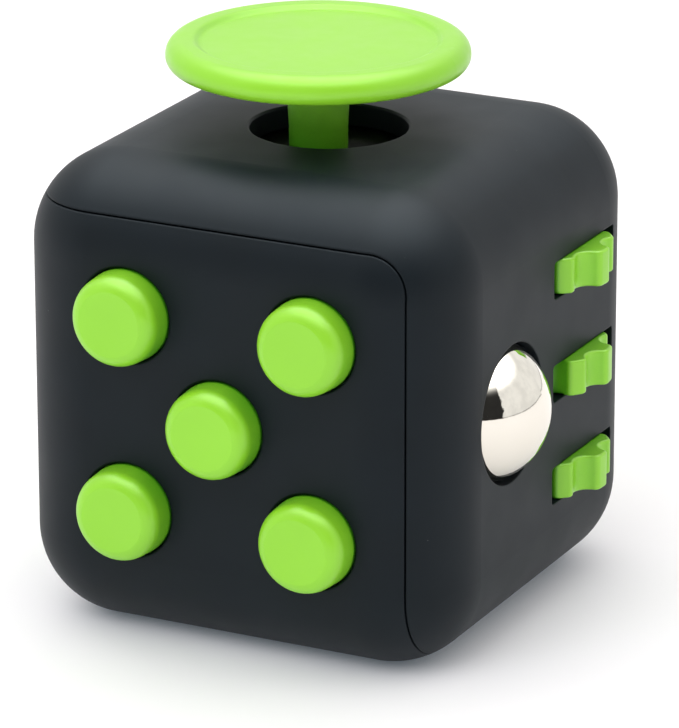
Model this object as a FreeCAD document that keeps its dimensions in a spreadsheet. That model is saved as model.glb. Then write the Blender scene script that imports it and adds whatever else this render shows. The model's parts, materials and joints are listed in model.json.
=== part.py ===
import FreeCAD
import Part
import Sketcher
import os
import re

# A 33 mm fidget cube, in millimetres. The origin is at the middle of the underside, +Z is up.
# The buttons are on the -Y face, the thumb wheels and the ball on the +X face, the joystick on
# top, the rocker on the +Y face, the spinning dial on the -X face and a thumb dimple underneath.

DIMENSIONS = {
    "width": 32.6,            # cube, along X
    "depth": 33.2,            # cube, along Y
    "height": 33.0,           # cube, along Z
    "edge": 6.4,              # radius of every outer edge and corner
    "wall": 1.6,
    "middle": 16.55,          # level of the middle of the four side faces
    "seam_drop": 0.95,        # the seam lies this far behind the faces of the front shell
    "seam_gap": 0.12,
    "seam_low": 0.15,         # how much lower the seam runs along the top edges
    "seam_tight": 0.7,        # how much sharper its corners are than the cube's
    "lip": 0.9,               # the front shell's inner lip, past the seam
    "lip_play": 0.06,
    "pilot": 0.7,             # pilot holes and screw shanks
    "screw_head": 1.35,
    "screw_rise": 0.9,
    "screw_reach": 3.0,
    "boss": 1.6,
    "button_pitch": 6.85,
    "button_root": 3.2,
    "button_end": 3.05,
    "button_rise": 2.25,
    "button_round": 1.15,
    "button_play": 0.1,
    "button_flange": 3.8,
    "flange_gap": 0.12,
    "flange_thick": 0.8,
    "button_nub": 1.2,
    "button_dish": 0.12,
    "plate_front": -11.8,     # front of the plate behind the buttons
    "plate_thick": 1.0,
    "membrane": 0.6,
    "plate_reach": 9.6,       # half the side of the plate behind the buttons
    "plate_bolt": 8.0,
    "disc": 10.3,             # joystick disc
    "disc_round": 1.09,
    "disc_top": 39.2,
    "disc_thick": 1.97,
    "dish": 8.4,              # shallow dish in the disc
    "dish_deep": 0.3,
    "stalk_top": 2.22,
    "stalk_foot": 2.0,
    "stalk_seat": 31.1,       # level of the shoulder on the slider
    "tenon": 1.4,
    "glide_x": -0.6,          # where the joystick rests, off the middle of its hole
    "glide_y": -0.4,
    "joystick_hole": 5.4,
    "hole_chamfer": 0.12,
    "slider": 8.6,
    "slider_foot": 30.1,
    "slider_thick": 1.0,
    "slider_hub": 2.2,
    "key_apart": 6.2,         # keys under the slider, each side of the joystick
    "key_half": 0.8,
    "key_foot": 29.3,
    "carriage_x": 8.8,        # half its length
    "carriage_y": 7.6,        # half its width
    "carriage_foot": 28.7,
    "carriage_top": 30.0,
    "runner_apart": 6.6,      # runners under the carriage, each side of the middle
    "runner_foot": 27.9,
    "slide_play": 0.1,
    "retainer_x": 12.3,
    "retainer_y": 12.6,
    "retainer_foot": 26.9,
    "retainer_thick": 1.7,
    "web": 0.6,               # thickness of the centring membrane
    "web_arm": 0.7,           # half the width of its arms
    "bolt_x": 10.6,           # the four bosses under the top wall
    "bolt_y": 10.9,
    "ball_size": 5.1,         # radius
    "ball_x": 13.6,
    "ball_y": -5.45,
    "ball_z": 16.62,
    "ball_play": 0.09,
    "ball_mouth": 4.85,
    "ball_lip": 4.78,
    "ball_bolt": 7.6,
    "ball_frame": 8.8,        # inner side of the frame behind the ball, along X
    "ball_frame_thick": 1.5,
    "ball_tube": 4.7,
    "ball_flange": 5.25,
    "cup": 3.82,
    "cup_back": 7.0,
    "cup_long": 2.5,
    "gear_x": 13.5,
    "gear_y": 6.0,
    "gear_pitch": 7.34,       # between the wheels, along Z
    "gear_tip": 4.6,
    "gear_root": 3.75,
    "gear_valley": 1.1,       # radius of the hollow between two teeth
    "gear_crest": 0.45,       # rounding of a tooth's corners
    "gear_rim": 0.18,         # rounding of the wheel's upper and lower outline
    "gear_thick": 2.5,
    "gear_play": 0.1,
    "axle": 1.2,
    "axle_play": 0.05,
    "slot_length": 9.8,
    "slot_height": 2.66,
    "slot_round": 0.3,
    "bracket_back": 7.0,
    "bracket_thick": 1.2,
    "bracket_half": 5.1,
    "bracket_arm": 2.0,       # half the width of the arms between the wheels
    "bracket_bolt": 3.0,      # the screws, ahead of the shaft
    "axle_low": 6.4,
    "axle_high": 26.2,
    "leaf": 0.2,              # thickness of the springs
    "finger": 0.5,            # radius of the springs' noses
    "finger_long": 1.6,
    "rocker_radius": 7.6,
    "rocker_half": 5.3,       # half its width
    "rocker_pivot": 13.6,     # distance of the pin behind the cube's middle
    "rocker_tilt": 12.0,
    "rocker_pin": 0.8,
    "rocker_valley": 2.5,     # lowest point of its two slopes, past the pin
    "rocker_frame_y": 9.5,
    "rocker_frame_x": 6.8,    # half its width
    "rocker_frame_z": 4.5,    # half its height
    "rocker_frame_thick": 1.0,
    "rocker_cheek": 1.3,
    "rocker_bolt": 9.6,
    "dial": 7.8,
    "dial_thick": 1.6,
    "dial_shaft": 1.9,
    "dial_gap": 0.2,
    "dial_grip": 6.0,         # the finger hollow: radius, depth and place
    "dial_grip_deep": 0.9,
    "dial_grip_off": 3.7,
    "bush_wall": 1.1,
    "bush_flange": 4.2,
    "bush_flange_thick": 0.8,
    "dimple": 9.0,
    "dimple_deep": 1.8,
}

TEETH = 8
TOOTH_PHASE = {"gear_bottom": -4.0, "gear_middle": 8.5, "gear_top": -5.0}  # a tooth's angle from +X

LEFT, RIGHT = "(-width / 2)", "(width / 2)"
FRONT, BACK = "(-depth / 2)", "(depth / 2)"
WEB_FOOT = "(retainer_foot - web)"
DIAL_LENGTH = "(wall + dial_gap + 1.3)"     # of the dial's shaft
SEAM_REACH = "(edge - sqrt(edge ^ 2 - (edge - seam_drop) ^ 2))"

doc = FreeCAD.newDocument("fidget_cube")
sheet = doc.addObject("Spreadsheet::Sheet", "Dims")
for row, (alias, value) in enumerate(DIMENSIONS.items(), start=1):
    sheet.set(f"A{row}", alias)
    sheet.set(f"B{row}", str(value))
    sheet.setAlias(f"B{row}", alias)
doc.recompute()

ALIAS = re.compile(r"\b(" + "|".join(sorted(DIMENSIONS, key=len, reverse=True)) + r")\b")
TURN = {
    "+Z": FreeCAD.Rotation(),
    "-Z": FreeCAD.Rotation(FreeCAD.Vector(1, 0, 0), 180),
    "+X": FreeCAD.Rotation(FreeCAD.Vector(0, 1, 0), 90),
    "-X": FreeCAD.Rotation(FreeCAD.Vector(0, 1, 0), -90),
    "+Y": FreeCAD.Rotation(FreeCAD.Vector(1, 0, 0), -90),
    "-Y": FreeCAD.Rotation(FreeCAD.Vector(1, 0, 0), 90),
}
CENTRE = ("0", "0", "0")
PARTS = []


# ---- Building blocks ----

def bind(thing, **rules):
    """Tie properties to rules written with the sheet's aliases."""
    for name, rule in rules.items():
        thing.setExpression(name, ALIAS.sub(r"Dims.\1", str(rule)))


def put(thing, place, facing="+Z"):
    """Give a Placement: local +Z turned to facing, the base point bound to the sheet."""
    thing.Placement = FreeCAD.Placement(FreeCAD.Vector(), TURN[facing])
    for axis, rule in zip("xyz", place):
        thing.setExpression("Placement.Base." + axis, ALIAS.sub(r"Dims.\1", str(rule)))
    return thing


def cylinder(radius, length, place, facing="+Z"):
    """Stand a cylinder on place, rising towards facing."""
    thing = doc.addObject("Part::Cylinder", "Cylinder")
    bind(thing, Radius=radius, Height=length)
    return put(thing, place, facing)


def cone(first, last, length, place, facing="+Z"):
    """Stand a truncated cone on place, from radius first to radius last."""
    thing = doc.addObject("Part::Cone", "Cone")
    bind(thing, Radius1=first, Radius2=last, Height=length)
    return put(thing, place, facing)


def sphere(radius, place):
    """Make a whole sphere."""
    thing = doc.addObject("Part::Sphere", "Sphere")
    bind(thing, Radius=radius)
    return put(thing, place)


def box(low, high):
    """Make a box between two corners."""
    thing = doc.addObject("Part::Box", "Box")
    length, width, height = (f"(({b}) - ({a}))" for a, b in zip(low, high))
    bind(thing, Length=length, Width=width, Height=height)
    return put(thing, low)


def fuse(*things):
    """Join shapes into one."""
    thing = doc.addObject("Part::MultiFuse", "Fusion")
    thing.Shapes = list(things)
    return thing


def common(*things):
    """Keep what all shapes share."""
    thing = doc.addObject("Part::MultiCommon", "Common")
    thing.Shapes = list(things)
    return thing


def cut(base, *tools):
    """Take tools away from base."""
    thing = doc.addObject("Part::Cut", "Cut")
    thing.Base = base
    thing.Tool = tools[0] if len(tools) == 1 else fuse(*tools)
    return thing


def edge_names(shape, wanted):
    """Name the edges of a shape for which wanted(edge) is true."""
    return [f"Edge{i}" for i, e in enumerate(shape.Edges, start=1) if wanted(e)]


def rounded_block(low, high, radius, outermost=None):
    """Make a box with all edges rounded, or only the edge farthest along outermost."""
    body = doc.addObject("PartDesign::Body", "Block")
    block = body.newObject("PartDesign::AdditiveBox", "BlockBox")
    length, width, height = (f"(({b}) - ({a}))" for a, b in zip(low, high))
    bind(block, Length=length, Width=width, Height=height)
    put(body, low)
    doc.recompute()
    rounding = body.newObject("PartDesign::Fillet", "BlockRounding")
    if outermost is None:
        rounding.Base = (block, [])
        rounding.UseAllEdges = True
    else:
        along = FreeCAD.Vector(*outermost)
        farthest = max(e.CenterOfMass.dot(along) for e in block.Shape.Edges)
        rounding.Base = (block, edge_names(
            block.Shape, lambda e: e.CenterOfMass.dot(along) > farthest - 0.01))
    bind(rounding, Radius=radius)
    return body


def upright_slab(low, high, radius):
    """Make a plate in the XY plane with its four upright edges rounded."""
    body = doc.addObject("PartDesign::Body", "Slab")
    block = body.newObject("PartDesign::AdditiveBox", "SlabBox")
    length, width, height = (f"(({b}) - ({a}))" for a, b in zip(low, high))
    bind(block, Length=length, Width=width, Height=height)
    put(body, low)
    doc.recompute()
    rounding = body.newObject("PartDesign::Fillet", "SlabRounding")
    upright = edge_names(block.Shape, lambda e: abs(e.BoundBox.ZLength) > e.Length / 2)
    rounding.Base = (block, upright)
    bind(rounding, Radius=radius)
    return body


def value(rule):
    """Work out a rule's present value."""
    return float(sheet.evalExpression(ALIAS.sub(r"Dims.\1", str(rule))))


def outline(body, role, points):
    """Draw a closed outline on one of a body's own planes, every corner bound to its two rules."""
    sketch = body.newObject("Sketcher::SketchObject", "Outline")
    plane = next(f for f in body.Origin.OriginFeatures if f.Role == role)
    sketch.AttachmentSupport = (plane, "")
    sketch.MapMode = "FlatFace"
    spots = [FreeCAD.Vector(value(across), value(up), 0) for across, up in points]
    for start, end in zip(spots, spots[1:] + spots[:1]):
        sketch.addGeometry(Part.LineSegment(start, end), False)
    count = len(spots)
    for i in range(count):
        sketch.addConstraint(Sketcher.Constraint("Coincident", i, 2, (i + 1) % count, 1))
    for i, (spot, rules) in enumerate(zip(spots, points)):
        for kind, size, rule in zip(("DistanceX", "DistanceY"), spot, rules):
            number = sketch.addConstraint(Sketcher.Constraint(kind, -1, 1, i, 1, size))
            sketch.setExpression(f"Constraints[{number}]", ALIAS.sub(r"Dims.\1", str(rule)))
    return sketch


def turned(points, place=CENTRE, facing="+Z", rounds=()):
    """Turn a half section of (radius, height) corners; rounds lists (radius, height, size)."""
    body = doc.addObject("PartDesign::Body", "Turned")
    sketch = outline(body, "XZ_Plane", points)
    turning = body.newObject("PartDesign::Revolution", "Turning")
    turning.Profile = sketch
    turning.ReferenceAxis = (sketch, ["V_Axis"])
    turning.Angle = 360
    sketch.Visibility = False
    doc.recompute()
    last = turning
    for radius, level, size in rounds:
        rim = edge_names(last.Shape, lambda e: (
            isinstance(e.Curve, Part.Circle)
            and abs(e.Curve.Radius - value(radius)) < 0.005
            and abs(e.Curve.Center.z - value(level)) < 0.005))
        rounding = body.newObject("PartDesign::Fillet", "Rounding")
        rounding.Base = (last, rim)
        bind(rounding, Radius=size)
        doc.recompute()
        last = rounding
    return put(body, place, facing)


def padded(points, thick, place=CENTRE, facing="+Z"):
    """Pad an outline of corners in the XY plane."""
    body = doc.addObject("PartDesign::Body", "Padded")
    pad = body.newObject("PartDesign::Pad", "Pad")
    pad.Profile = outline(body, "XY_Plane", points)
    bind(pad, Length=thick)
    return put(body, place, facing)


def part(thing, name):
    """Name a finished piece; its label names its file."""
    thing.Label = name
    PARTS.append(thing)
    return thing


def group(things, name):
    """Keep identical separate pieces together under one name."""
    bundle = doc.addObject("Part::Compound", "Group")
    bundle.Links = list(things)
    return part(bundle, name)


def screw(place, facing, reach="screw_reach", head="screw_head"):
    """Make a cross-head screw: place is under its head, facing points to its tip."""
    body = turned([
        ("0", "-screw_rise"), (head, "-screw_rise"), (head, "0"),
        ("pilot", "0"), ("pilot", reach), ("0", reach)])
    cross = [box(("-0.8", "-0.16", "-screw_rise - 0.1"), ("0.8", "0.16", "-0.45")),
             box(("-0.16", "-0.8", "-screw_rise - 0.1"), ("0.16", "0.8", "-0.45"))]
    return put(cut(body, *cross), place, facing)


def ring(outer, inner, length, place, facing="+Z"):
    """Make a tube."""
    return turned([(inner, "0"), (outer, "0"), (outer, length), (inner, length)], place, facing)


# ---- Housing: two interlocking shells, three faces each ----

def hollow_solid(inset):
    """Make the rounded cube, drawn in from its surface by inset."""
    return rounded_block(
        (f"{LEFT} + {inset}", f"{FRONT} + {inset}", inset),
        (f"{RIGHT} - {inset}", f"{BACK} - {inset}", f"height - {inset}"),
        f"edge - {inset}")


def front_side(reach):
    """Make the space of the front, left and bottom faces, ending reach short of the other three."""
    corner = f"edge - {reach} - seam_tight"
    start = (f"{LEFT} - 2", f"{FRONT} - 2", "-2")
    near = (f"{RIGHT} - {reach}", f"{BACK} - {reach}", f"height - {reach} - seam_low")
    return fuse(
        rounded_block(start, (near[0], f"{FRONT} + edge + 1", near[2]), corner, (1, 0, 1)),
        rounded_block(start, (f"{LEFT} + edge + 1", near[1], near[2]), corner, (0, 1, 1)),
        rounded_block(start, (near[0], near[1], "edge + 1"), corner, (1, 1, 0)))


def button_spots():
    """List the five buttons: name, place along X, place along Z."""
    spots = [("button_centre", "0", "middle")]
    for level, sign_z in (("upper", "+"), ("lower", "-")):
        for side, sign_x in (("left", "-"), ("right", "")):
            spots.append((f"button_{level}_{side}", f"{sign_x}button_pitch",
                          f"middle {sign_z} button_pitch"))
    return spots


PLATE_BOLTS = [("0", "middle + plate_bolt"), ("0", "middle - plate_bolt"), ("-plate_bolt", "middle")]
TOP_BOLTS = [(f"{sx}bolt_x", f"{sy}bolt_y") for sx in ("", "-") for sy in ("", "-")]
BRACKET_BOLTS = [("gear_y - bracket_bolt", f"middle {s} gear_pitch / 2") for s in ("+", "-")]
BALL_BOLTS = [("ball_y", f"ball_z {s} ball_bolt") for s in ("+", "-")]
ROCKER_BOLTS = [("0", f"middle {s} rocker_bolt") for s in ("+", "-")]
BALL_FRAME_FRONT = "(ball_frame + ball_frame_thick)"
BRACKET_FRONT = "(bracket_back + bracket_thick)"
ROCKER_FRAME_FRONT = "(rocker_frame_y + rocker_frame_thick)"
RETAINER_TOP = "(retainer_foot + retainer_thick)"


def wheel_levels():
    """Name the three wheels and give the level of the middle of each."""
    return {"gear_bottom": "(middle - gear_pitch)", "gear_middle": "middle",
            "gear_top": "(middle + gear_pitch)"}


def front_shell(skin, middle_solid, lip_solid, cavity):
    """Front, left and bottom faces, with a lip that slips inside the other shell."""
    inside = f"({FRONT} + wall / 2)"
    bosses = [cylinder("boss", f"plate_front - {inside}", (x, inside, z), "+Y")
              for x, z in PLATE_BOLTS]
    curve = "((dimple ^ 2 + dimple_deep ^ 2) / (2 * dimple_deep))"
    under = ("0", "0", f"dimple_deep - {curve}")
    reach = "(dimple + 5)"
    bulge = common(sphere(f"{curve} + wall", under),
                   box((f"-{reach}", f"-{reach}", "wall / 2"), (reach, reach, "edge")))
    shell = fuse(
        common(skin, front_side(SEAM_REACH)),
        common(cut(lip_solid, cavity), front_side(f"({SEAM_REACH} - lip)")),
        common(middle_solid, fuse(bulge, *bosses)))
    holes = [sphere(curve, under),
             cylinder("dial_shaft + bush_wall", "wall + 2", (f"{LEFT} - 1", "0", "middle"), "+X")]
    bore = "(button_root + button_play)"
    for _, x, z in button_spots():
        holes.append(cylinder(bore, "wall + 2", (x, f"{FRONT} - 1", z), "+Y"))
        holes.append(cone(f"{bore} + hole_chamfer", bore, "hole_chamfer", (x, FRONT, z), "+Y"))
    holes += [cylinder("pilot", "screw_reach + 0.2", (x, "plate_front", z), "-Y")
              for x, z in PLATE_BOLTS]
    holes += [cylinder("boss + 0.3", "6", (x, y, f"{RETAINER_TOP} - 0.2")) for x, y in TOP_BOLTS]
    return part(cut(shell, *holes), "front_shell")


def ball_socket():
    """Make the space of the ball's hole: mouth, retaining lip and the room behind it."""
    roomy = "(ball_size + ball_play)"
    lip = f"sqrt({roomy} ^ 2 - ball_lip ^ 2)"
    mouth = f"({RIGHT} - ball_x - 0.5)"
    back = f"({roomy} + 0.06)"
    return turned(
        [("0", "-6"), (back, "-6"), (back, "0"), ("ball_lip", lip),
         ("ball_mouth", mouth), ("ball_mouth", f"{mouth} + 3"), ("0", f"{mouth} + 3")],
        ("ball_x", "ball_y", "ball_z"), "+X")


def rear_shell(skin, middle_solid):
    """Top, right and back faces, stepped back inside for the other shell's lip."""
    shell = cut(skin, front_side(f"({SEAM_REACH} - seam_gap)"),
                common(middle_solid, front_side(f"({SEAM_REACH} - lip - seam_gap)")))
    features = [cylinder("boss", "4", (x, y, RETAINER_TOP)) for x, y in TOP_BOLTS]
    features += [cylinder("boss", "8", (BRACKET_FRONT, y, z), "+X") for y, z in BRACKET_BOLTS]
    features += [cylinder("boss", "5", (BALL_FRAME_FRONT, y, z), "+X") for y, z in BALL_BOLTS]
    features += [cylinder("boss", "6", (x, ROCKER_FRAME_FRONT, z), "+Y") for x, z in ROCKER_BOLTS]
    features.append(cylinder("ball_mouth + 1.25", "5", (f"{BALL_FRAME_FRONT} + 0.1", "ball_y", "ball_z"),
                             "+X"))
    shell = fuse(shell, common(middle_solid, fuse(*features)))
    holes = [cylinder("joystick_hole", "4", ("0", "0", "height - 3")),
             cone("joystick_hole", "joystick_hole + hole_chamfer", "hole_chamfer",
                  ("0", "0", "height - hole_chamfer")),
             ball_socket(),
             box(("-rocker_half - 0.2", f"{BACK} - 3", "middle - rocker_radius - 0.15"),
                 ("rocker_half + 0.2", f"{BACK} + 1", "middle + rocker_radius + 0.15"))]
    for level in wheel_levels().values():
        slot = upright_slab(("0", "0", "0"), ("slot_height", "slot_length", "4"), "slot_round")
        holes.append(put(slot, (f"{RIGHT} - 3", "gear_y - slot_length / 2", f"{level} + slot_height / 2"),
                         "+X"))
    deep = "screw_reach + 0.2"
    holes += [cylinder("pilot", "2.4", (x, y, RETAINER_TOP)) for x, y in TOP_BOLTS]
    holes += [cylinder("pilot", deep, (BRACKET_FRONT, y, z), "+X") for y, z in BRACKET_BOLTS]
    holes += [cylinder("pilot", deep, (BALL_FRAME_FRONT, y, z), "+X") for y, z in BALL_BOLTS]
    holes += [cylinder("pilot", deep, (x, ROCKER_FRAME_FRONT, z), "+Y") for x, z in ROCKER_BOLTS]
    return part(cut(shell, *holes), "rear_shell")


def housing():
    """Make both shells from one skin."""
    cavity = hollow_solid("wall")
    skin = cut(hollow_solid("0"), cavity)
    middle_solid = hollow_solid("(wall / 2)")
    lip_solid = hollow_solid("(wall / 2 + lip_play)")
    rear_shell(skin, middle_solid)
    front_shell(skin, middle_solid, lip_solid, cavity)


# ---- Front face: five buttons over a silicone membrane ----

def button(name, x, z):
    """A flanged button with a slightly dished end, held in by its flange."""
    back = "(plate_front - membrane - flange_thick)"
    flange_front = f"({back} - {FRONT} - wall - flange_gap)"
    flange_back = f"({flange_front} - flange_thick)"
    end = f"({back} - {FRONT} + button_rise)"
    body = turned(
        [("0", "0"), ("button_nub", "0"), ("button_nub", flange_back),
         ("button_flange", flange_back), ("button_flange", flange_front),
         ("button_root", flange_front), ("button_root", f"{back} - {FRONT}"),
         ("button_end", end), ("0", end)],
        (x, back, z), "-Y", [("button_end", end, "button_round")])
    dish = sphere("30", (x, f"{FRONT} - button_rise - 30 + button_dish", z))
    return part(cut(body, dish), name)


def snap_dome(base, rise, thick, place, facing):
    """A sprung metal cap of the given base radius and rise, standing on place."""
    curve = f"(({base} ^ 2 + {rise} ^ 2) / (2 * {rise}))"
    low = ("0", "0", f"{rise} - {curve}")
    cap = common(cut(sphere(curve, low), sphere(f"{curve} - {thick}", low)),
                 cylinder(f"{base} + 1", f"{rise} + 1", CENTRE))
    return put(cap, place, facing)


def button_unit():
    """Buttons, membrane, click domes and the plate that carries them."""
    for name, x, z in button_spots():
        button(name, x, z)
    side = "2 * plate_reach - 0.4"
    slab = put(upright_slab(CENTRE, (side, side, "membrane"), "3"),
               ("-plate_reach + 0.2", "plate_front", "middle - plate_reach + 0.2"), "-Y")
    seat = "(plate_front - membrane)"
    domes = [cone("2.6", "1.5", "0.75", (x, seat, z), "-Y") for _, x, z in button_spots()]
    hollows = [cone("2.2", "1.2", "1.0", (x, "plate_front", z), "-Y") for _, x, z in button_spots()]
    hollows += [cylinder("boss + 0.2", "2", (x, "plate_front", z), "-Y") for x, z in PLATE_BOLTS]
    part(cut(fuse(slab, *domes), *hollows), "button_membrane")
    click = [snap_dome("1.9", "0.55", "0.12", (x, "plate_front", z), "-Y")
             for name, x, z in button_spots() if name in (
                 "button_centre", "button_upper_left", "button_lower_right")]
    group(click, "snap_domes")
    behind = "(plate_front + plate_thick)"
    plate = put(upright_slab(CENTRE, ("2 * plate_reach", "2 * plate_reach", "plate_thick"), "3"),
                ("-plate_reach", behind, "middle - plate_reach"), "-Y")
    part(cut(plate, *(cylinder("pilot + 0.1", "3", (x, "plate_front - 1", z), "+Y")
                      for x, z in PLATE_BOLTS)), "button_plate")
    group([screw((x, behind, z), "-Y") for x, z in PLATE_BOLTS], "button_plate_screws")


# ---- Top face: joystick on two cross slides ----

def joystick():
    """A dished disc on a stalk, with a tenon that goes down through both slides."""
    under, floor, slope = "disc_top - disc_thick", "disc_top - dish_deep", "dish - 0.45"
    stick = turned(
        [("0", "retainer_foot"), ("tenon", "retainer_foot"), ("tenon", "stalk_seat"),
         ("stalk_foot", "stalk_seat"), ("stalk_foot", "height"), ("stalk_top", under),
         ("disc", under), ("disc", "disc_top"), ("dish", "disc_top"), (slope, floor), ("0", floor)],
        ("glide_x", "glide_y", "0"), "+Z",
        [("disc", "disc_top", "disc_round"), ("disc", under, "disc_round * 0.75"),
         ("stalk_top", under, "0.4"), ("dish", "disc_top", "0.5"), (slope, floor, "0.5")])
    part(cut(stick, cylinder("pilot", "3.4", ("glide_x", "glide_y", "retainer_foot"))), "joystick")


def glide_slides():
    """The slider that carries the joystick along X, and the carriage that goes along Y."""
    key_top = "(slider_foot + 0.1)"
    keys = [box(("glide_x - 4.6", f"glide_y {s} key_apart - key_half", "key_foot"),
                ("glide_x + 4.6", f"glide_y {s} key_apart + key_half", key_top)) for s in ("+", "-")]
    slider = fuse(cylinder("slider", "slider_thick", ("glide_x", "glide_y", "slider_foot")),
                  cylinder("slider_hub", f"{key_top} - retainer_foot",
                           ("glide_x", "glide_y", "retainer_foot")), *keys)
    part(cut(slider, cylinder("tenon", "6", ("glide_x", "glide_y", "retainer_foot - 1"))),
         "glide_slider")

    block = upright_slab(("-carriage_x", "glide_y - carriage_y", "carriage_foot"),
                         ("carriage_x", "glide_y + carriage_y", "carriage_top"), "2")
    runners = [box((f"{s}runner_apart - key_half", "glide_y - 5", "runner_foot"),
                   (f"{s}runner_apart + key_half", "glide_y + 5", "carriage_foot + 0.1"))
               for s in ("", "-")]
    groove = "(key_half + slide_play)"
    grooves = [box(("-7.1", f"glide_y {s} key_apart - {groove}", "key_foot - slide_play"),
                   ("7.1", f"glide_y {s} key_apart + {groove}", "carriage_top + 1")) for s in ("+", "-")]
    window = upright_slab(("-4.8", "glide_y - slider_hub - slide_play", "runner_foot - 1"),
                          ("4.8", "glide_y + slider_hub + slide_play", "carriage_top + 1"), "2.2")
    part(cut(fuse(block, *runners), window, *grooves), "glide_carriage")


def outline_plate(low, high):
    """Make a plate that fills the cube under the top wall, with a notch for the rocker."""
    notch = box(("-7.4", "8.4", f"{low} - 1"), ("7.4", "15", f"{high} + 1"))
    corners = ("-retainer_x", "-retainer_y", low), ("retainer_x", "retainer_y", high)
    return cut(upright_slab(*corners, "3"), notch)


def joystick_unit():
    """Joystick, its two slides, the fixed plate and the silicone web that centres it."""
    joystick()
    glide_slides()
    plate = outline_plate("retainer_foot", RETAINER_TOP)
    track = "(key_half + slide_play)"
    tracks = [box((f"{s}runner_apart - {track}", "-7.5", "runner_foot - slide_play"),
                  (f"{s}runner_apart + {track}", "7.5", f"{RETAINER_TOP} + 1")) for s in ("", "-")]
    bores = [cylinder("pilot + 0.1", "4", (x, y, f"{WEB_FOOT} - 1")) for x, y in TOP_BOLTS]
    middle_hole = cylinder("5.6", "3", ("0", "0", "retainer_foot - 1"))
    part(cut(plate, middle_hole, *tracks, *bores), "glide_retainer")

    ring_hole = cylinder("7.6", "2", ("0", "0", f"{WEB_FOOT} - 1"))
    web_ring = cut(outline_plate(WEB_FOOT, "retainer_foot"), ring_hole)
    arms = [box(("-8", "glide_y - web_arm", WEB_FOOT), ("8", "glide_y + web_arm", "retainer_foot")),
            box(("glide_x - web_arm", "-8", WEB_FOOT), ("glide_x + web_arm", "8", "retainer_foot"))]
    hub = cylinder("2.6", "web", ("glide_x", "glide_y", WEB_FOOT))
    shank = cylinder("pilot + 0.2", "2", ("glide_x", "glide_y", f"{WEB_FOOT} - 1"))
    bolt_holes = [cylinder("pilot + 0.1", "4", (x, y, f"{WEB_FOOT} - 1")) for x, y in TOP_BOLTS]
    part(cut(fuse(web_ring, hub, *arms), shank, *bolt_holes), "centring_membrane")
    washer_foot = f"{WEB_FOOT} - 0.5"
    part(ring("2.6", "pilot + 0.05", "0.5", ("glide_x", "glide_y", washer_foot)), "joystick_washer")
    part(screw(("glide_x", "glide_y", washer_foot), "+Z", "4"), "joystick_screw")
    group([screw((x, y, WEB_FOOT), "+Z", "4") for x, y in TOP_BOLTS], "retainer_screws")


# ---- Right face: three thumb wheels and a ball ----

def thumb_wheel(name, level):
    """A wheel with hollows cut into its rim, bored for the shaft."""
    body = doc.addObject("PartDesign::Body", "Wheel")
    blank = body.newObject("PartDesign::AdditiveCylinder", "Blank")
    bind(blank, Radius="gear_tip", Height="gear_thick")
    hollow = body.newObject("PartDesign::SubtractiveCylinder", "Hollow")
    bind(hollow, Radius="gear_valley", Height="gear_thick")
    hollow.setExpression("Placement.Base.x", "Dims.gear_root + Dims.gear_valley")
    doc.recompute()
    hollows = body.newObject("PartDesign::PolarPattern", "Hollows")
    hollows.Originals = [hollow]
    hollows.Axis = (next(f for f in body.Origin.OriginFeatures if f.Role == "Z_Axis"), [""])
    hollows.Angle = 360
    hollows.Occurrences = TEETH
    body.Tip = hollows
    doc.recompute()
    softened = body.newObject("PartDesign::Fillet", "Crests")
    softened.Base = (hollows, edge_names(hollows.Shape, lambda e: (
        isinstance(e.Curve, Part.Line) and e.Length > value("gear_thick") - 0.01)))
    bind(softened, Radius="gear_crest")
    doc.recompute()
    rimmed = body.newObject("PartDesign::Fillet", "Rims")
    rimmed.Base = (softened, edge_names(softened.Shape, lambda e: e.BoundBox.ZLength < 0.01))
    bind(rimmed, Radius="gear_rim")
    doc.recompute()
    bore = body.newObject("PartDesign::SubtractiveCylinder", "Bore")
    bind(bore, Radius="axle + axle_play", Height="gear_thick")
    put(body, ("gear_x", "gear_y", f"{level} - gear_thick / 2"))
    phase = FreeCAD.Rotation(FreeCAD.Vector(0, 0, 1), TOOTH_PHASE[name] + 180 / TEETH)
    body.Placement = FreeCAD.Placement(body.Placement.Base, phase)
    return part(body, name)


def gear_bracket():
    """The cradle that carries the shaft, with an arm beside every wheel."""
    back = box(("bracket_back", "gear_y - bracket_half", "axle_low"),
               (BRACKET_FRONT, "gear_y + bracket_half", "axle_high"))
    arms = box((f"{BRACKET_FRONT} - 0.2", "gear_y - bracket_arm", "axle_low"),
               (f"{RIGHT} - wall - 0.1", "gear_y + bracket_arm", "axle_high"))
    room = "(gear_thick / 2 + gear_play)"
    gaps = [box((BRACKET_FRONT, "gear_y - 6", f"{level} - {room}"),
                (RIGHT, "gear_y + 6", f"{level} + {room}")) for level in wheel_levels().values()]
    bores = [cylinder("axle", "22", ("gear_x", "gear_y", "axle_low - 1"))]
    bores += [cylinder("pilot + 0.1", "2", ("bracket_back - 0.4", y, z), "+X")
              for y, z in BRACKET_BOLTS]
    seats = [cylinder("boss + 0.1", "8", (BRACKET_FRONT, y, z), "+X") for y, z in BRACKET_BOLTS]
    part(cut(fuse(back, cut(arms, *gaps)), *bores, *seats), "gear_bracket")
    group([screw(("bracket_back", y, z), "+X") for y, z in BRACKET_BOLTS], "gear_bracket_screws")


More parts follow.
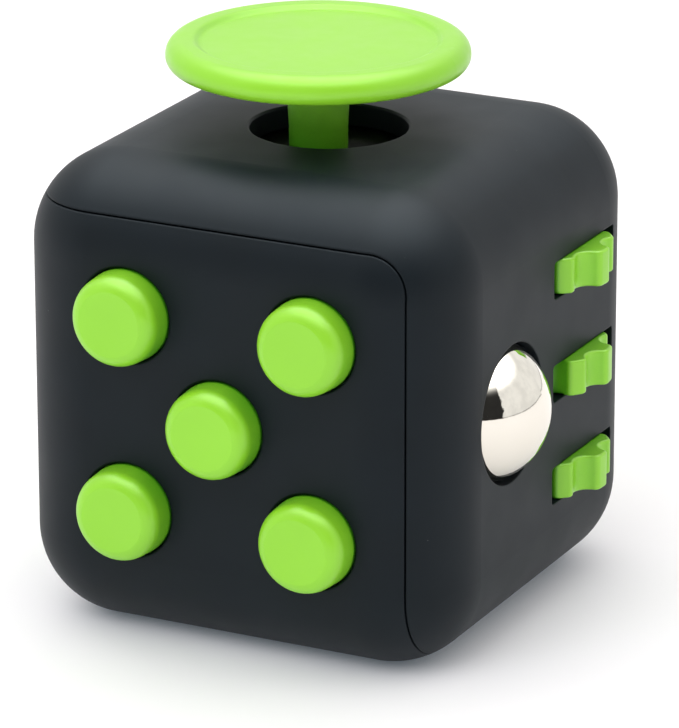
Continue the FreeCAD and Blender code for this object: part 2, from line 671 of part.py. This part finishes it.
def gear_detent_spring():
    """A leaf on the cradle with a round nose between two teeth of every wheel."""
    near, far = f"{BRACKET_FRONT} + 0.05", f"{BRACKET_FRONT} + 0.05 + leaf"
    half, outer = "finger_long / 2", "gear_y + bracket_half - 0.5"
    pieces = [box((near, f"{outer} - 1.4", "middle - gear_pitch"), (far, outer, "middle + gear_pitch"))]
    for name, level in wheel_levels().items():
        valleys = [TOOTH_PHASE[name] + 360 / TEETH * (i + 0.5) for i in range(TEETH)]
        angle = min(valleys, key=lambda a: abs(a - 180))
        reach = f"gear_x + (gear_tip - 0.15) * cos({angle} deg)"
        side = f"gear_y + (gear_tip - 0.15) * sin({angle} deg)"
        low, high = f"{level} - {half}", f"{level} + {half}"
        pieces.append(cylinder("finger", "finger_long", (reach, side, low)))
        pieces.append(box((near, f"{side} - finger", low), (reach, f"{side} + finger", high)))
        pieces.append(box((near, "gear_y - bracket_half + 0.5", low), (far, outer, high)))
    part(fuse(*pieces), "gear_detent_spring")


def gear_unit():
    """Three wheels on one shaft, its cradle and the leaf that clicks between their teeth."""
    for name, level in wheel_levels().items():
        thumb_wheel(name, level)
    part(cylinder("axle", "axle_high - axle_low", ("gear_x", "gear_y", "axle_low")), "gear_axle")
    gear_bracket()
    gear_detent_spring()


def ball_unit():
    """A ball kept in by the hole's lip, pushed out by a cup over a click dome."""
    ball_at = ("ball_x", "ball_y", "ball_z")
    part(sphere("ball_size", ball_at), "ball")
    cup = fuse(cylinder("cup", "cup_long", ("cup_back", "ball_y", "ball_z"), "+X"),
               cylinder("0.9", "0.3", ("cup_back - 0.08", "ball_y", "ball_z"), "+X"))
    part(cut(cup, sphere("ball_size + 0.07", ball_at)), "ball_seat")
    floor = "(cup_back - 1.1)"
    part(snap_dome("3.3", "0.95", "0.15", (floor, "ball_y", "ball_z"), "+X"), "ball_dome")
    tube = cylinder("ball_tube", f"{BALL_FRAME_FRONT} - {floor} + 0.8", (f"{floor} - 1", "ball_y", "ball_z"),
                    "+X")
    flange = [cylinder("ball_flange", "ball_frame_thick", ("ball_frame", "ball_y", "ball_z"), "+X"),
              box(("ball_frame", "ball_y - boss", "ball_z - ball_bolt"),
                  (BALL_FRAME_FRONT, "ball_y + boss", "ball_z + ball_bolt"))]
    flange += [cylinder("boss", "ball_frame_thick", ("ball_frame", y, z), "+X") for y, z in BALL_BOLTS]
    bores = [cylinder("cup + 0.08", "5", (floor, "ball_y", "ball_z"), "+X"),
             cylinder("ball_tube + 0.15", "2", ("ball_frame + 0.6", "ball_y", "ball_z"), "+X")]
    bores += [cylinder("pilot + 0.1", "4", ("ball_frame - 1", y, z), "+X") for y, z in BALL_BOLTS]
    part(cut(fuse(tube, *flange), *bores), "ball_housing")
    group([screw(("ball_frame", y, z), "+X") for y, z in BALL_BOLTS], "ball_housing_screws")


# ---- Back face: rocker switch ----

def rocker():
    """A drum with two sloping faces that meet in a valley, and a nose that rests on the spring."""
    left = "-rocker_half"
    long = "2 * rocker_half"
    half = "(rocker_radius + 0.4)"
    crest = f"rocker_valley + {half} * tan({value('rocker_tilt')} deg)"
    wedge = padded([(f"-{half}", "-0.5"), (half, "-0.5"), (half, crest), ("0", "rocker_valley"),
                    (f"-{half}", crest)], long, (left, "0", "0"), "+X")
    drum = cylinder("rocker_radius", long, (left, "0", "0"), "+X")
    nose = [box(("-1.5", "-2.2", "-0.45"), ("1.5", "-0.3", "0.45")),
            cylinder("0.45", "3", ("-1.5", "-2.2", "0"), "+X")]
    hub = cylinder("rocker_pin + 0.9", long, (left, "0", "0"), "+X")
    bore = cylinder("rocker_pin + 0.05", f"{long} + 1", (f"{left} - 0.5", "0", "0"), "+X")
    body = put(cut(fuse(common(wedge, drum), hub, *nose), bore), ("0", "rocker_pivot", "middle"))
    tilt = FreeCAD.Rotation(FreeCAD.Vector(1, 0, 0), value("rocker_tilt"))
    body.Placement = FreeCAD.Placement(body.Placement.Base, tilt)
    part(body, "rocker")


def rocker_unit():
    """A rocker on a pin, its frame and the leaf that holds it at either end."""
    rocker()
    wide = "rocker_frame_x"
    part(cylinder("rocker_pin", f"2 * {wide}", (f"-{wide}", "rocker_pivot", "middle"), "+X"),
         "rocker_pin")
    foot = [box((f"-{wide}", "rocker_frame_y", "middle - rocker_frame_z"),
                (wide, ROCKER_FRAME_FRONT, "middle + rocker_frame_z")),
            box(("-boss", "rocker_frame_y", "middle - rocker_bolt"),
                ("boss", ROCKER_FRAME_FRONT, "middle + rocker_bolt"))]
    foot += [cylinder("boss", "rocker_frame_thick", (x, "rocker_frame_y", z), "+Y")
             for x, z in ROCKER_BOLTS]
    cheeks = [box((low, f"{ROCKER_FRAME_FRONT} - 0.5", "middle - 3"),
                  (high, f"{BACK} - wall - 0.1", "middle + 3"))
              for low, high in ((f"-{wide}", f"-{wide} + rocker_cheek"), (f"{wide} - rocker_cheek", wide))]
    bores = [cylinder("rocker_pin", "20", ("-10", "rocker_pivot", "middle"), "+X")]
    bores += [cylinder("pilot + 0.1", "3", (x, "rocker_frame_y - 0.5", z), "+Y")
              for x, z in ROCKER_BOLTS]
    part(cut(fuse(*foot, *cheeks), *bores), "rocker_frame")
    group([screw((x, "rocker_frame_y", z), "+Y") for x, z in ROCKER_BOLTS], "rocker_frame_screws")
    low, high = "middle - rocker_frame_z + 0.3", "middle + rocker_frame_z - 0.3"
    leaf = box(("-1.4", ROCKER_FRAME_FRONT, low), ("1.4", f"{ROCKER_FRAME_FRONT} + leaf", high))
    bump = cylinder("0.3", "2.8", ("-1.4", f"{ROCKER_FRAME_FRONT} + 0.3", "middle"), "+X")
    part(fuse(leaf, bump), "rocker_spring")


# ---- Left face: spinning dial ----

def dial_unit():
    """A thumb disc that spins in a bush, with its washer and screw."""
    under = f"({LEFT} - dial_gap)"
    disc = turned(
        [("0", f"-{DIAL_LENGTH}"), ("dial_shaft", f"-{DIAL_LENGTH}"), ("dial_shaft", "0"),
         ("dial", "0"), ("dial", "dial_thick"), ("0", "dial_thick")],
        (under, "0", "middle"), "-X",
        [("dial", "dial_thick", "0.8"), ("dial", "0", "0.3")])
    grip_x = f"{under} - dial_thick - dial_grip + dial_grip_deep"
    grip = sphere("dial_grip", (grip_x, "dial_grip_off", "middle"))
    seat = f"({under} + {DIAL_LENGTH})"
    part(cut(disc, grip, cylinder("pilot", "screw_reach", (seat, "0", "middle"), "-X")), "spin_dial")
    bush = fuse(cylinder("dial_shaft + bush_wall", "wall", (LEFT, "0", "middle"), "+X"),
                cylinder("bush_flange", "bush_flange_thick", (f"{LEFT} + wall", "0", "middle"), "+X"))
    part(cut(bush, cylinder("dial_shaft + 0.06", "5", (f"{LEFT} - 1", "0", "middle"), "+X")),
         "dial_bush")
    part(ring("3.2", "pilot + 0.05", "0.4", (seat, "0", "middle"), "+X"), "dial_washer")
    part(screw((f"{seat} + 0.4", "0", "middle"), "-X"), "dial_screw")


# ---- The whole cube ----

housing()
button_unit()
joystick_unit()
gear_unit()
ball_unit()
rocker_unit()
dial_unit()
doc.recompute()

for thing in doc.Objects:
    broken = {"Invalid", "Error"} & set(thing.State)
    if broken:
        raise RuntimeError(f"{thing.Label} ({thing.Name}) is {broken}")
for thing in PARTS:
    if thing.Shape.isNull() or not thing.Shape.isValid() or not thing.Shape.Solids:
        raise RuntimeError(f"{thing.Label} has no valid shape")
os.makedirs("parts", exist_ok=True)
for thing in PARTS:
    thing.Shape.exportStep(os.path.join("parts", f"{thing.Label}.step"))
    print(f"{thing.Label:24s} {thing.Shape.Volume:9.2f} mm3  {len(thing.Shape.Solids)} solid(s)")
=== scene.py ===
"""A black and lime fidget cube on a white studio floor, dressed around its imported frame."""
import json
import math

import bpy
from mathutils import Euler, Matrix, Vector


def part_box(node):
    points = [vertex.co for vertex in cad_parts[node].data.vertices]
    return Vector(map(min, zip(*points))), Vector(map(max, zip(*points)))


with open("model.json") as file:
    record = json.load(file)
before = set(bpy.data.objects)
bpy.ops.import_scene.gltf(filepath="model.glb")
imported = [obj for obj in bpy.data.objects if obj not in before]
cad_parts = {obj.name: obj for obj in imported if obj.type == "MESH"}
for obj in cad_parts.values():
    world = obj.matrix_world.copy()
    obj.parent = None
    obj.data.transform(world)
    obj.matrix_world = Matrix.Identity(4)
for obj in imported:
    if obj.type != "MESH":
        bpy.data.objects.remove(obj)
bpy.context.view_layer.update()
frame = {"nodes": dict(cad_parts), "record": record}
MM = 0.001
# Rays that ambient occlusion and bevels spend on each shading point
SHADING_SAMPLES = 6
# A Mix node has sockets for every data type; these are its colour ones.
MIX_FIRST, MIX_SECOND, MIX_RESULT = 6, 7, 2
FLOOR_SIZE = 6
FLOOR_GLOW = (0.78, 0.90, 1.0, 1.0)
FLOOR_GLOW_STRENGTH = 0.09
WHITE = (1, 1, 1, 1)
# The tent's red, green and blue at the table's level and overhead
TENT_TONES = ((0.36, 1.50), (0.43, 1.35), (0.50, 1.24))
# The middle of the dark gap in the reflections, from in front (-Y) towards the right (+X)
GAP_AZIMUTH = math.radians(20)
# How far the cloth's folds shift the gap's edge
FOLD_DEPTH = 0.16
NODES = frame["nodes"]


# ---- Camera ----

def cube_middle():
    """The middle of the cube, without the joystick."""
    _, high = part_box("rear_shell")
    return Vector((0.0, 0.0, high.z / 2))


def add_camera(azimuth, elevation, roll, distance, lens, shift):
    """Look at the cube's middle from an azimuth (0 is in front), an elevation and a distance."""
    turn, rise = math.radians(azimuth), math.radians(elevation)
    away = Vector((math.sin(turn) * math.cos(rise), -math.cos(turn) * math.cos(rise), math.sin(rise)))
    camera = bpy.data.objects.new("camera", bpy.data.cameras.new("camera"))
    bpy.context.scene.collection.objects.link(camera)
    camera.matrix_world = Matrix.Translation(cube_middle() + away * distance) @ Euler(
        (math.pi / 2 - rise, 0, turn), "XYZ").to_matrix().to_4x4() @ Matrix.Rotation(
        math.radians(roll), 4, "Z")
    camera.data.sensor_width = 36
    camera.data.lens = lens
    camera.data.shift_x, camera.data.shift_y = shift
    camera.data.clip_start = 0.01
    bpy.context.scene.camera = camera


# ---- Node trees ----

def add_node(tree, kind, inputs, settings):
    """Add a node, set its properties, and fill its inputs with links or values."""
    made = tree.nodes.new(kind)
    for key, value in settings.items():
        setattr(made, key, value)
    for key, source in dict(inputs).items():
        if isinstance(source, bpy.types.NodeSocket):
            tree.links.new(source, made.inputs[key])
        else:
            made.inputs[key].default_value = source
    return made


# ---- Studio ----

def add_floor(colour):
    """A pale floor that runs far past the view, faintly lit so that its shadows stay soft."""
    bpy.ops.mesh.primitive_plane_add(size=FLOOR_SIZE)
    floor = bpy.context.object
    floor.name = "floor"
    surface = Surface("floor_paper", colour, roughness=0.7)
    surface.tint(scale=6, low=0.985, high=1.0)
    surface.shader.inputs["Emission Color"].default_value = FLOOR_GLOW
    surface.shader.inputs["Emission Strength"].default_value = FLOOR_GLOW_STRENGTH
    floor.data.materials.append(surface.material)


def add_softbox(name, place, size, power):
    """A square soft light that faces the cube and isn't seen in its reflections."""
    light = bpy.data.lights.new(name, "AREA")
    light.shape = "SQUARE"
    light.size = size
    light.energy = power
    lamp = bpy.data.objects.new(name, light)
    bpy.context.scene.collection.objects.link(lamp)
    lamp.location = place
    lamp.rotation_euler = (cube_middle() - Vector(place)).to_track_quat("-Z", "Y").to_euler()
    lamp.visible_glossy = False


class Tent:
    """A white tent all round the cube, with a dark gap in front that only reflections show."""

    def __init__(self):
        world = bpy.data.worlds.new("tent")
        bpy.context.scene.world = world
        world.use_nodes = True
        self.tree = world.node_tree
        self.tree.nodes.clear()
        self.way = self.node("ShaderNodeTexCoord").outputs["Generated"]
        path = self.node("ShaderNodeLightPath")
        plain = self.node("ShaderNodeBackground", {"Color": self.glow(), "Strength": 1.0})
        mirrored = self.node("ShaderNodeBackground", {"Color": self.reflections(), "Strength": 1.0})
        white = self.node("ShaderNodeBackground", {"Color": WHITE, "Strength": 1.0})
        seen = self.node("ShaderNodeMixShader", {
            0: path.outputs["Is Glossy Ray"], 1: plain.outputs[0], 2: mirrored.outputs[0]})
        behind = self.node("ShaderNodeMixShader", {
            0: path.outputs["Is Camera Ray"], 1: seen.outputs[0], 2: white.outputs[0]})
        self.node("ShaderNodeOutputWorld", {"Surface": behind.outputs[0]})

    def node(self, kind, inputs=(), **settings):
        """Add a node to the world."""
        return add_node(self.tree, kind, inputs, settings)

    def step(self, source, start, end, low=0.0, high=1.0):
        """Ease from low to high while source goes from start to end."""
        return self.node("ShaderNodeMapRange", {
            "Value": source, "From Min": start, "From Max": end, "To Min": low, "To Max": high},
            interpolation_type="SMOOTHSTEP").outputs["Result"]

    def product(self, *factors):
        """Multiply numbers."""
        total = factors[0]
        for factor in factors[1:]:
            total = self.node("ShaderNodeMath", {0: total, 1: factor}, operation="MULTIPLY").outputs[0]
        return total

    def glow(self):
        """The tent's light on matt parts: weaker near the table's level and from the right."""
        x, _, z = self.node("ShaderNodeSeparateXYZ", {0: self.way}).outputs
        side = self.step(x, start=0.1, end=0.8, low=1.0, high=0.72)
        tones = [self.product(self.step(z, start=0.15, end=0.65, low=low, high=high), side)
                 for low, high in TENT_TONES]
        return self.node("ShaderNodeCombineColor", dict(enumerate(tones))).outputs[0]

    def reflections(self):
        """What polished parts see: cloth, brighter overhead, a dark gap and the table's edge."""
        level = self.node("ShaderNodeVectorMath", {0: self.way, 1: (1, 1, 0)}, operation="MULTIPLY")
        level = self.node("ShaderNodeVectorMath", {0: level.outputs[0]}, operation="NORMALIZE")
        gap_way = (math.sin(GAP_AZIMUTH), -math.cos(GAP_AZIMUTH), 0)
        ahead = self.node("ShaderNodeVectorMath", {0: level.outputs[0], 1: gap_way},
                          operation="DOT_PRODUCT").outputs["Value"]
        up = self.node("ShaderNodeSeparateXYZ", {0: self.way}).outputs["Z"]
        folds = self.node("ShaderNodeTexNoise", {
            "Vector": self.way, "Scale": 5.0, "Detail": 4.0}).outputs["Fac"]
        ragged = self.node("ShaderNodeMath", {0: folds, 1: FOLD_DEPTH, 2: ahead},
                           operation="MULTIPLY_ADD").outputs[0]
        gap = self.product(self.step(ragged, start=0.73, end=0.77),
                           self.step(up, start=0.50, end=0.90, low=1.0, high=0.0))
        edge = self.product(self.step(up, start=0.0, end=0.004),
                            self.step(up, start=0.016, end=0.022, low=1.0, high=0.0))
        cloth = self.product(self.step(folds, start=0.3, end=0.7, low=0.93, high=1.07),
                             self.step(up, start=0.58, end=1.0, low=1.0, high=6.0))
        lit = self.product(cloth,
                           self.step(gap, start=0.0, end=1.0, low=1.0, high=0.03),
                           self.step(edge, start=0.0, end=1.0, low=1.0, high=0.45))
        return self.node("ShaderNodeCombineColor", {0: lit, 1: lit, 2: lit}).outputs[0]


# ---- Materials ----

class Surface:
    """A Principled material whose colour, roughness and height vary in the object's own space."""

    def __init__(self, name, colour, roughness=0.5, **sockets):
        self.material = bpy.data.materials.new(name)
        self.material.use_nodes = True
        self.tree = self.material.node_tree
        self.shader = self.tree.nodes["Principled BSDF"]
        self.paint = colour  # the source of the base colour: these numbers, then a socket
        self.shader.inputs["Base Color"].default_value = (*colour, 1)
        self.shader.inputs["Roughness"].default_value = roughness
        for socket, number in sockets.items():
            self.shader.inputs[socket.replace("_", " ")].default_value = number
        self.place = self.node("ShaderNodeTexCoord").outputs["Object"]
        self.height = None

    def node(self, kind, inputs=(), **settings):
        """Add a node to the material."""
        return add_node(self.tree, kind, inputs, settings)

    def drive(self, socket, source):
        """Link a source to one of the shader's sockets."""
        self.tree.links.new(source, self.shader.inputs[socket])

    def noise(self, scale, detail=3.0, stretch=(1, 1, 1)):
        """Noise with features about 1 / scale metres across."""
        place = self.node("ShaderNodeMapping", {"Vector": self.place, "Scale": stretch})
        return self.node("ShaderNodeTexNoise", {
            "Vector": place.outputs[0], "Scale": scale, "Detail": detail}).outputs["Fac"]

    def spread(self, source, low, high, start=0.3, end=0.7):
        """Go from low to high, evenly, while source goes from start to end."""
        return self.node("ShaderNodeMapRange", {
            "Value": source, "From Min": start, "From Max": end,
            "To Min": low, "To Max": high}).outputs["Result"]

    def repaint(self, source):
        """Make a source the base colour, and what later steps change."""
        self.paint = source
        self.drive("Base Color", source)

    def tint(self, scale, low, high):
        """Shade the colour up and down a little in broad patches; comes before specks and the painted
        hollow shade.
        """
        amount = self.spread(self.noise(scale), low, high)
        shaded = self.node("ShaderNodeVectorMath", {0: self.paint, "Scale": amount}, operation="SCALE")
        self.repaint(shaded.outputs[0])
        return self

    def rough(self, scale, low, high, stretch=(1, 1, 1)):
        """Vary the roughness between two values."""
        self.drive("Roughness", self.spread(self.noise(scale, stretch=stretch), low, high))
        return self

    def specks(self, scale, size, colour):
        """Scatter fine dust specks over the colour."""
        cells = self.node("ShaderNodeTexVoronoi", {"Vector": self.place, "Scale": scale})
        near = self.spread(cells.outputs["Distance"], low=1, high=0, start=0, end=size)
        chance = self.node("ShaderNodeSeparateColor", {"Color": cells.outputs["Color"]}).outputs[0]
        sparse = self.spread(chance, low=0, high=1, start=0.82, end=0.86)
        amount = self.node("ShaderNodeMath", {0: near, 1: sparse}, operation="MULTIPLY").outputs[0]
        mixed = self.node("ShaderNodeMix", data_type="RGBA", inputs={
            0: amount, MIX_FIRST: self.paint, MIX_SECOND: (*colour, 1)})
        self.repaint(mixed.outputs[MIX_RESULT])
        return self

    def paint_hollow_shade(self, colour, reach):
        """Paint shade into the colour: darker and greener in hollows and beside neighbours, where
        ambient occlusion finds them.
        """
        open_air = self.node("ShaderNodeAmbientOcclusion", {"Distance": reach}, samples=SHADING_SAMPLES)
        amount = self.spread(open_air.outputs["AO"], low=0, high=1, start=0.25, end=0.90)
        mixed = self.node("ShaderNodeMix", data_type="RGBA", inputs={
            0: amount, MIX_FIRST: (*colour, 1), MIX_SECOND: self.paint})
        self.repaint(mixed.outputs[MIX_RESULT])
        return self

    def bump(self, source, depth, strength):
        """Add a height of depth metres on top of any soft edges."""
        inputs = {"Height": source, "Distance": depth, "Strength": strength}
        if self.height is not None:
            inputs["Normal"] = self.height
        self.height = self.node("ShaderNodeBump", inputs).outputs["Normal"]
        self.drive("Normal", self.height)
        return self

    def soft_edges(self, radius):
        """Round sharp edges in the shading, as a mould's radius does."""
        bevel = self.node("ShaderNodeBevel", {"Radius": radius}, samples=SHADING_SAMPLES)
        self.height = bevel.outputs["Normal"]
        self.drive("Normal", self.height)
        return self


def soft_touch_black():
    """Rubbery matt black paint over plastic: fine grain, faint sheen, a few dust specks."""
    s = Surface("soft_touch_black", (0.0024, 0.0050, 0.0076), Specular_IOR_Level=0.24,
                Specular_Tint=(0.85, 0.95, 1.0, 1.0))
    s.tint(scale=180, low=0.85, high=1.15).specks(scale=620, size=0.030, colour=(0.13, 0.135, 0.135))
    s.rough(scale=300, low=0.50, high=0.54)
    s.soft_edges(0.15 * MM)
    s.bump(s.noise(scale=12000, detail=2), depth=0.004 * MM, strength=0.3)
    return s.material


def lime_plastic():
    """Satin moulded plastic, with shade painted darker and greener into its hollows."""
    s = Surface("lime_plastic", (0.266, 0.655, 0.025), Specular_IOR_Level=0.56)
    s.tint(scale=90, low=0.97, high=1.03).specks(scale=420, size=0.030, colour=(0.16, 0.30, 0.04))
    # Painted shade: a darker, greener colour wherever ambient occlusion finds neighbours within reach
    s.paint_hollow_shade(colour=(0.050, 0.33, 0.010), reach=4 * MM)
    s.rough(scale=600, low=0.30, high=0.38)
    s.soft_edges(0.12 * MM)
    s.bump(s.noise(scale=9000, detail=2), depth=0.002 * MM, strength=0.06)
    return s.material


def polished_steel():
    """A bright ball with hair scratches and faint finger marks."""
    s = Surface("polished_steel", (0.79, 0.755, 0.675), Metallic=1.0)
    s.tint(scale=200, low=0.97, high=1.0).rough(scale=350, low=0.02, high=0.06)
    s.bump(s.noise(scale=1500, detail=4, stretch=(1, 1, 9)), depth=0.004 * MM, strength=0.12)
    return s.material


def moulded_black():
    """Plain black inner moulding."""
    s = Surface("moulded_black", (0.006, 0.0065, 0.007), Specular_IOR_Level=0.2)
    s.tint(scale=250, low=0.8, high=1.2).rough(scale=500, low=0.55, high=0.70)
    s.soft_edges(0.1 * MM)
    s.bump(s.noise(scale=4000, detail=2), depth=0.01 * MM, strength=0.4)
    return s.material


def acetal():
    """Natural white slippery plastic."""
    s = Surface("acetal", (0.62, 0.60, 0.55), Subsurface_Weight=0.1, Subsurface_Scale=0.5 * MM)
    s.tint(scale=250, low=0.94, high=1.03).rough(scale=500, low=0.32, high=0.45)
    s.soft_edges(0.1 * MM)
    s.bump(s.noise(scale=3000, detail=2), depth=0.008 * MM, strength=0.3)
    return s.material


def silicone():
    """Milky silicone rubber."""
    s = Surface("silicone", (0.50, 0.52, 0.52), Subsurface_Weight=0.4, Subsurface_Scale=1.0 * MM)
    s.tint(scale=250, low=0.93, high=1.04).rough(scale=700, low=0.5, high=0.65)
    s.bump(s.noise(scale=5000, detail=2), depth=0.008 * MM, strength=0.3)
    return s.material


def sprung_steel():
    """Rolled spring strip, with its grain."""
    s = Surface("sprung_steel", (0.60, 0.60, 0.58), Metallic=1.0)
    s.tint(scale=400, low=0.9, high=1.05).rough(scale=800, low=0.22, high=0.4, stretch=(1, 12, 1))
    s.bump(s.noise(scale=3000, detail=2, stretch=(1, 14, 1)), depth=0.004 * MM, strength=0.3)
    return s.material


def zinc():
    """Bright zinc plated screws and washers."""
    s = Surface("zinc", (0.58, 0.59, 0.60), Metallic=1.0)
    s.tint(scale=900, low=0.85, high=1.05).rough(scale=1200, low=0.25, high=0.42)
    s.soft_edges(0.06 * MM)
    s.bump(s.noise(scale=4000, detail=3), depth=0.004 * MM, strength=0.3)
    return s.material


def ground_steel():
    """Ground shaft, with rings of fine grinding marks."""
    s = Surface("ground_steel", (0.66, 0.66, 0.65), Metallic=1.0)
    s.tint(scale=900, low=0.92, high=1.02).rough(scale=1200, low=0.12, high=0.24, stretch=(1, 1, 20))
    s.bump(s.noise(scale=3000, detail=2, stretch=(1, 1, 20)), depth=0.003 * MM, strength=0.3)
    return s.material


# The finish of each material slot in the record
FINISHES = {
    "housing_black": soft_touch_black,
    "lime_plastic": lime_plastic,
    "steel_ball": polished_steel,
    "inner_black": moulded_black,
    "natural_plastic": acetal,
    "silicone": silicone,
    "spring_steel": sprung_steel,
    "zinc_screw": zinc,
    "bright_shaft": ground_steel,
}


def dress_nodes():
    """Give every CAD node the finish of its material slot."""
    made = {slot: make() for slot, make in FINISHES.items()}
    for entry in frame["record"]["subparts"]:
        node = NODES[entry["node"]]
        for place in node.material_slots:
            place.material = made[entry["material_slot"]]


# ---- Scene ----

add_camera(azimuth=26.65, elevation=19.02, roll=-0.134, distance=0.3784, lens=273.2,
           shift=(0.0135, -0.0108))
Tent()
add_softbox("key_front", place=(-0.05, -0.45, 0.45), size=0.40, power=0.85)
add_floor(colour=(0.87, 0.91, 0.965))
dress_nodes()

bpy.context.scene.view_settings.view_transform = "Standard"
